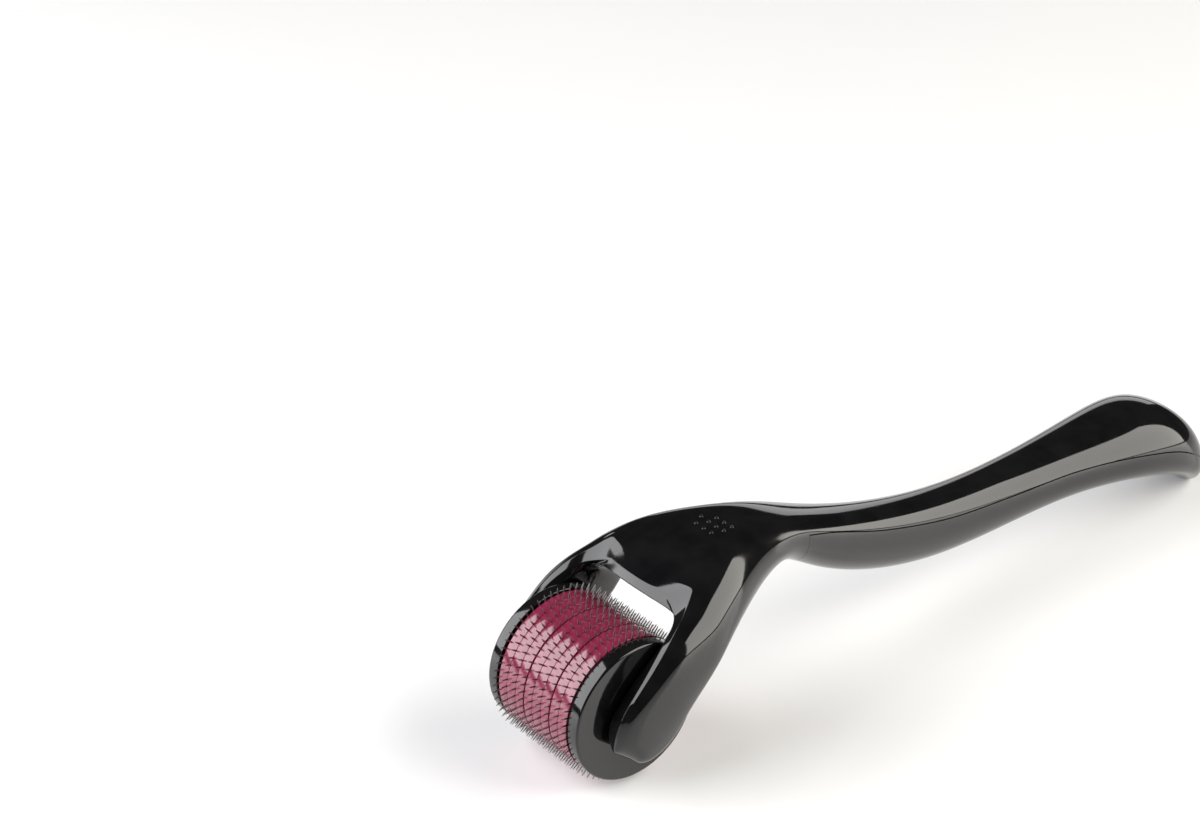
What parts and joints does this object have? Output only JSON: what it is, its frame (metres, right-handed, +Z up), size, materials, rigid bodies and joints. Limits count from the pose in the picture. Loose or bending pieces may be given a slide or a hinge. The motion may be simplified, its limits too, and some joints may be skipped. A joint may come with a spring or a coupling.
{
  "type": "derma roller",
  "caption": "Hand-held skin roller: a drum of fine steel needles spins freely on a pin between the two arms of a curved two-shell handle.",
  "frame": {"origin": "on the surface that the roller rests on, under the middle of its bounding box", "axes": "+X from the drum to the handle's tail, +Y across the roller along the drum's axle, +Z up"},
  "size_m": [0.1232, 0.0272, 0.0266],
  "materials": {
    "black_plastic": "high gloss black moulded ABS",
    "pink_plastic": "glossy pink moulded plastic, faintly translucent",
    "needle_steel": "etched stainless steel sheet",
    "axle_steel": "ground steel pin",
    "white_acetal": "natural acetal",
    "core_plastic": "dark grey moulded core"
  },
  "bodies": {
    "handle": {"upper_shell": "black_plastic", "lower_shell": "black_plastic", "axle_pin": "axle_steel"},
    "drum": {"left_end_cap": "black_plastic", "right_end_cap": "black_plastic", "left_bush": "white_acetal", "right_bush": "white_acetal", "hub_core": "core_plastic", "needle_disc_1": "needle_steel", "needle_disc_2": "needle_steel", "needle_disc_3": "needle_steel", "needle_disc_4": "needle_steel", "needle_disc_5": "needle_steel", "needle_disc_6": "needle_steel", "needle_disc_7": "needle_steel", "needle_disc_8": "needle_steel", "needle_disc_9": "needle_steel", "spacer_ring_1": "pink_plastic", "spacer_ring_2": "pink_plastic", "spacer_ring_3": "pink_plastic", "spacer_ring_4": "pink_plastic", "spacer_ring_5": "pink_plastic", "spacer_ring_6": "pink_plastic", "spacer_ring_7": "pink_plastic", "spacer_ring_8": "pink_plastic"}
  },
  "joints": [
    {"name": "drum_spin", "type": "hinge", "parent": "handle", "child": "drum", "pos_m": [-0.05094, 0, 0.0107], "axis": [0, 1, 0], "continuous": true}
  ]
}
